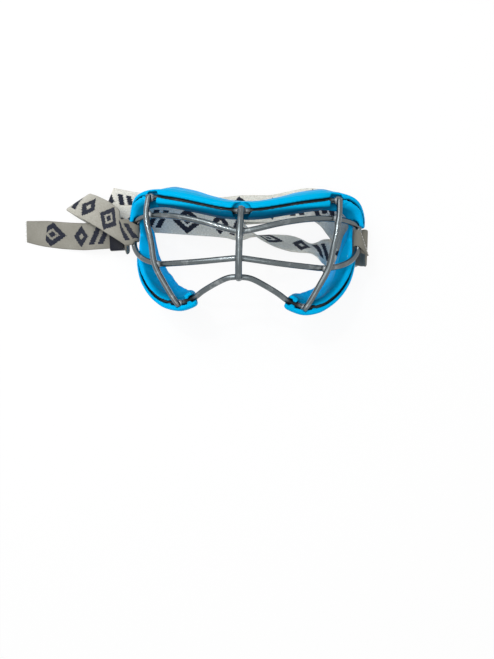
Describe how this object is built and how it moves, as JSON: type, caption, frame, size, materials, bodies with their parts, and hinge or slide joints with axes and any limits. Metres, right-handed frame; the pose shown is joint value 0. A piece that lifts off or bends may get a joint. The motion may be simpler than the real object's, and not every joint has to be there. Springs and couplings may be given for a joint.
{
  "type": "wire cage sports goggles",
  "caption": "Wire-cage sports goggles: welded bars held in the channel of a soft moulded face frame, with a woven elastic strap looped round the ear wires and lying folded behind it.",
  "frame": {"origin": "middle of the bounding box in plan, on the surface the goggles lie on", "axes": "+X to the right seen from the front, along the folded strap and the width of the goggles; +Y up the face towards the brow; +Z out of the face, away from the surface they lie on"},
  "size_m": [0.253, 0.093, 0.0671],
  "materials": {
    "frame_blue": "soft moulded face frame, bright blue, glossy",
    "wire_pewter": "pewter grey coated steel wire, satin gloss",
    "webbing": "woven elastic webbing, warm light grey with a dark navy woven pattern",
    "keeper_black": "moulded strap keeper, near-black navy"
  },
  "bodies": {
    "goggles": {"face_frame": "frame_blue", "centre_bar": "wire_pewter", "upper_crossbar": "wire_pewter", "lower_crossbar": "wire_pewter", "left_side_bar": "wire_pewter", "right_side_bar": "wire_pewter", "brow_rim_wire": "wire_pewter", "nose_rim_wire": "wire_pewter", "strap_back_runs": "webbing", "strap_tail": "webbing"},
    "right_loop": {"strap_right_loop": "webbing", "strap_right_drop": "webbing"},
    "left_loop": {"strap_left_loop": "webbing", "strap_left_run": "webbing", "strap_tail_drop": "webbing"},
    "keeper": {"strap_keeper": "keeper_black"}
  },
  "joints": [
    {"name": "right_loop_swing", "type": "hinge", "parent": "goggles", "child": "right_loop", "pos_m": [0.11823, 0.00625, 0.029], "axis": [0, 1, 0], "range_deg": [-20, 15], "deforming": ["strap_right_drop"]},
    {"name": "left_loop_swing", "type": "hinge", "parent": "goggles", "child": "left_loop", "pos_m": [-0.03417, 0.00625, 0.029], "axis": [0, 1, 0], "range_deg": [0, 15], "deforming": ["strap_left_run", "strap_tail_drop"]},
    {"name": "keeper_slide", "type": "slide", "parent": "goggles", "child": "keeper", "axis": [-0.9962, -0.0872, 0], "range_m": [0, 0.011]}
  ]
}
